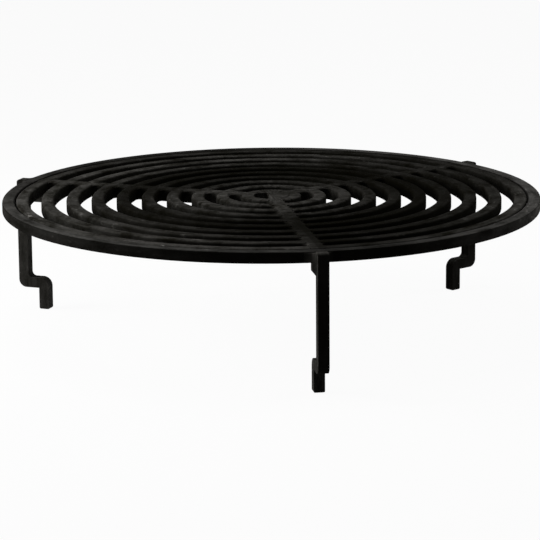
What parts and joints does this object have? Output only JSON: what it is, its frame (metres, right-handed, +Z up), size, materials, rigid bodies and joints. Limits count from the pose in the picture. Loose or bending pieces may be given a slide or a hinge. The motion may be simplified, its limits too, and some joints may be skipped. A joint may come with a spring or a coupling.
{
  "type": "fire pit grill",
  "caption": "Round grill grate of concentric ring bars and let-in spokes, loose inside a rim ring on stepped legs that drop into a fire bowl's opening.",
  "frame": {"origin": "middle of the cooking surface, on the axis of the rings, on the hub plate's top", "axes": "+Z up along the axis of the rings, -Y towards the front leg; the hub plate's opening lies towards -X"},
  "size_m": [0.4299, 0.4385, 0.109],
  "materials": {
    "stand_metal": "matt black heat-resistant coating over rough bar, with welds",
    "grate_metal": "rough, mottled black, slightly shiny from oil and use"
  },
  "bodies": {
    "stand": {"rim_ring": "stand_metal", "leg_front": "stand_metal", "leg_left": "stand_metal", "leg_right": "stand_metal", "grate_rest_front": "stand_metal", "grate_rest_left": "stand_metal", "grate_rest_right": "stand_metal"},
    "grate": {"grate_ring_01": "grate_metal", "grate_ring_02": "grate_metal", "grate_ring_03": "grate_metal", "grate_ring_04": "grate_metal", "grate_ring_05": "grate_metal", "grate_ring_06": "grate_metal", "grate_ring_07": "grate_metal", "grate_ring_08": "grate_metal", "grate_ring_09": "grate_metal", "grate_ring_10": "grate_metal", "hub_plate": "grate_metal", "spoke_front": "grate_metal", "spoke_left": "grate_metal", "spoke_right": "grate_metal"}
  },
  "joints": [
    {"name": "grate_lift", "type": "slide", "parent": "stand", "child": "grate", "axis": [0, 0, 1], "range_m": [0, 0.12]}
  ]
}
